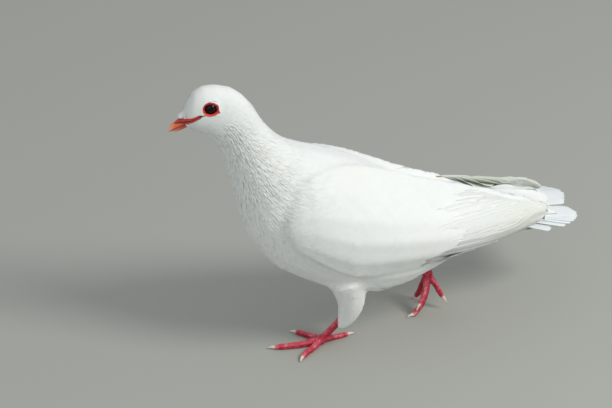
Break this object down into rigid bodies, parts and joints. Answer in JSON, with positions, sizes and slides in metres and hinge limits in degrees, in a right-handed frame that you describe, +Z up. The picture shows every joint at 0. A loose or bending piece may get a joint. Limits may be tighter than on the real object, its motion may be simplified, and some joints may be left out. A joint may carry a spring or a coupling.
{
  "type": "white domestic pigeon",
  "caption": "Life-size still model of a white domestic pigeon walking, with red feet, coral bill and dark eyes ringed in red.",
  "frame": {"origin": "middle of the bird's bounding box, on the floor it stands on", "axes": "+X towards the bill, +Y to the bird's left, +Z up"},
  "size_m": [0.3374, 0.126, 0.23],
  "materials": {
    "feather_white": "soft matt white body plumage",
    "flight_white": "smooth satin flight feathers, white tinged with cream",
    "foot_red": "satin scaly skin",
    "claw_horn": "semi-gloss pale horn",
    "bill_coral": "semi-gloss horn",
    "cere_pale": "matt, powdery soft skin",
    "eye_skin_red": "satin bare skin",
    "eye_dark": "wet gloss"
  },
  "bodies": {
    "root": {"head": "feather_white", "neck": "feather_white", "trunk": "feather_white", "eye_left": "eye_dark", "eye_ring_left": "eye_skin_red", "eye_right": "eye_dark", "eye_ring_right": "eye_skin_red", "bill_upper": "bill_coral", "bill_lower": "bill_coral", "cere": "cere_pale", "wing_left": "feather_white", "flight_left": "flight_white", "wing_right": "feather_white", "flight_right": "flight_white", "tail": "flight_white", "thigh_left": "feather_white", "tarsus_left": "foot_red", "toe_inner_left": "foot_red", "claw_inner_left": "claw_horn", "toe_middle_left": "foot_red", "claw_middle_left": "claw_horn", "toe_outer_left": "foot_red", "claw_outer_left": "claw_horn", "toe_hind_left": "foot_red", "claw_hind_left": "claw_horn", "thigh_right": "feather_white", "tarsus_right": "foot_red", "toe_inner_right": "foot_red", "claw_inner_right": "claw_horn", "toe_middle_right": "foot_red", "claw_middle_right": "claw_horn", "toe_outer_right": "foot_red", "claw_outer_right": "claw_horn", "toe_hind_right": "foot_red", "claw_hind_right": "claw_horn"}
  },
  "joints": []
}
